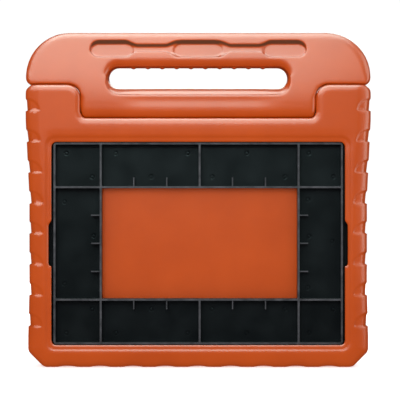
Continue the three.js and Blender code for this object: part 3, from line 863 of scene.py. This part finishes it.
def shaded_pockets(made):
    """The foam's colour is browner on the walls under the upper edges of the finger pockets. It
    is no pigment or dirt of the real foam. It stands in for the deep shade there, which the
    lamps alone leave too light and too red."""
    tree = made.node_tree
    bsdf = tree.nodes["Principled BSDF"]
    coords = node(tree, "TexCoord")
    up = node(tree, "SeparateXYZ", Vector=coords.outputs["Object"]).outputs["Z"]
    facing = node(tree, "SeparateXYZ", Vector=coords.outputs["Normal"]).outputs["Z"]
    height = node(tree, "MapRange", {
        "From Min": (HANDLE_TOP - 17) * MM, "From Max": (HANDLE_TOP - 15) * MM}, Value=up)
    downward = node(tree, "MapRange", {"From Min": -0.15, "From Max": -0.6}, Value=facing)
    amount = node(tree, "Math", {"operation": "MULTIPLY"})
    tree.links.new(height.outputs["Result"], amount.inputs[0])
    tree.links.new(downward.outputs["Result"], amount.inputs[1])
    base = bsdf.inputs["Base Color"].links[0].from_socket
    mix = node(tree, "Mix", {"data_type": "RGBA"})
    tree.links.new(amount.outputs[0], mix.inputs[0])
    tree.links.new(base, mix.inputs[6])
    mix.inputs[7].default_value = linear("#6A3E26")
    tree.links.new(mix.outputs[2], bsdf.inputs["Base Color"])


def zinc_plated_steel():
    """Zinc-plated steel: bright grey, with the fine crystals of the plating."""
    made, tree, bsdf = material("steel_zinc_plated", "#B9BCBE", Metallic=1.0, Roughness=0.32)
    coords = node(tree, "TexCoord").outputs["Object"]
    crystals = node(tree, "TexVoronoi", {"Scale": per_metre(0.8)}, Vector=coords)
    rough = node(
        tree, "MapRange", {"To Min": 0.24, "To Max": 0.42}, Value=crystals.outputs["Distance"])
    tree.links.new(rough.outputs["Result"], bsdf.inputs["Roughness"])
    return made


# ------------------------------------------------------------ camera, light and floor

def camera():
    """Straight on, level with the middle of the case."""
    data = bpy.data.cameras.new("camera")
    data.lens = 90
    data.sensor_width = 36
    obj = bpy.data.objects.new("camera", data)
    seen_width = 328  # mm of the case's front plane across the picture
    distance = seen_width * data.lens / data.sensor_width
    across, up = 1.5, 138
    obj.location = Vector((across, -HALF_DEPTH - distance, up)) * MM
    obj.rotation_euler = (math.pi / 2, 0, 0)
    bpy.context.scene.collection.objects.link(obj)
    bpy.context.scene.camera = obj


COOL_WHITE = "#CDF6F2"  # keeps the pale gloss on the orange foam from turning pink
ROOM_LIGHT = 0.62
BACKDROP = 1.05
FLOOR_GLOW = 0.46  # the floor's own light, which keeps it as white as the backdrop


def softbox(name, place_mm, aim_mm, size, power, lights):
    """A broad lamp that lights either the form, as diffuse light, or the gloss alone."""
    data = bpy.data.lights.new(name, "AREA")
    data.shape = "RECTANGLE"
    data.size, data.size_y = size
    data.energy = power
    data.color = linear("#FFFFFF" if lights == "form" else COOL_WHITE)[:3]
    obj = bpy.data.objects.new(name, data)
    obj.location = Vector(place_mm) * MM
    obj.rotation_mode = "QUATERNION"
    obj.rotation_quaternion = (Vector(aim_mm) - Vector(place_mm)).to_track_quat("-Z", "Y")
    obj.visible_diffuse = lights == "form"
    obj.visible_glossy = lights == "gloss"
    bpy.context.scene.collection.objects.link(obj)


def white_room():
    """Even white light from all round, which the camera sees as a white backdrop."""
    world = bpy.data.worlds.new("studio")
    bpy.context.scene.world = world
    world.use_nodes = True
    tree = world.node_tree
    background = tree.nodes["Background"]
    background.inputs["Color"].default_value = (1, 1, 1, 1)
    seen = node(tree, "LightPath").outputs["Is Camera Ray"]
    strength = node(tree, "Mix", {"data_type": "FLOAT"}, Factor=seen)
    strength.inputs["A"].default_value = ROOM_LIGHT
    strength.inputs["B"].default_value = BACKDROP
    tree.links.new(strength.outputs[0], background.inputs["Strength"])
    world.cycles_visibility.glossy = False


def studio():
    white_room()
    softbox("key", (-150, -1100, 500), (0, 0, 150), (0.7, 0.7), 5.6, "form")
    softbox("key_behind", (200, 1100, 500), (0, 0, 150), (0.7, 0.7), 4, "form")
    softbox("high_left", (-240, -560, 800), (-20, 0, 230), (1.2, 0.75), 20, "gloss")
    softbox("overhead", (0, -200, 900), (0, 0, 200), (0.9, 0.4), 14, "gloss")
    softbox("right", (700, -250, 350), (100, 0, 130), (0.5, 0.8), 5, "gloss")
    softbox("behind", (150, 600, 800), (0, 0, 150), (0.9, 0.6), 14, "gloss")

    bm = bmesh.new()
    bmesh.ops.create_grid(bm, x_segments=1, y_segments=1, size=6)
    floor = place("floor", bm)
    paper, tree, bsdf = material("paper_white", "#FFFFFF", Roughness=0.9)
    grain = node(tree, "TexNoise", {"Scale": per_metre(2)})
    bump = node(tree, "Bump", {"Strength": 0.02, "Distance": 0.1 * MM}, Height=grain.outputs["Fac"])
    tree.links.new(bump.outputs["Normal"], bsdf.inputs["Normal"])
    bsdf.inputs["Emission Color"].default_value = (1, 1, 1, 1)
    bsdf.inputs["Emission Strength"].default_value = FLOOR_GLOW
    floor.data.materials.append(paper)
    floor.visible_diffuse = False
    floor.visible_glossy = False
    bpy.context.scene.view_settings.view_transform = "Standard"


# ------------------------------------------------------------ the case

def finish_piece(piece, body, cad_node, finish):
    piece.data.materials.clear()
    piece.data.materials.append(finish)
    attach(piece, body)
    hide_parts(cad_node)


def dress(node_name, finish):
    """Gives a carried-over CAD node its material."""
    obj = frame["nodes"][node_name]
    obj.data.materials.clear()
    obj.data.materials.append(finish)


camera()
studio()

foam = eva_foam()
shaded_pockets(foam)
polypropylene = plastic("polypropylene_moulded_black", "#0D1013", "#121518", 0.34, 0.5, 0.04)
paler_rib_tops(polypropylene)
nylon = plastic("nylon_moulded_black", "#24262A", "#2C2E32", 0.5, 0.6, 0.05)
acetal = plastic("acetal_moulded_natural", "#DEDBD0", "#E8E5DC", 0.38, 0.6, 0.03)
zinc = zinc_plated_steel()

shell = foam_shell()
finish_piece(shell, "case", "body_shell", foam)
handle = foam_handle()
finish_piece(handle, "handle", "handle_grip", foam)
finish_piece(spacer_tray(), "case", "spacer_tray", polypropylene)

dress("core_rod", nylon)
for side in ("left", "right"):
    dress("ratchet_hub_" + side, nylon)
    dress("ear_socket_" + side, nylon)
    dress("thrust_washer_" + side, acetal)
    dress("pivot_screw_" + side, zinc)
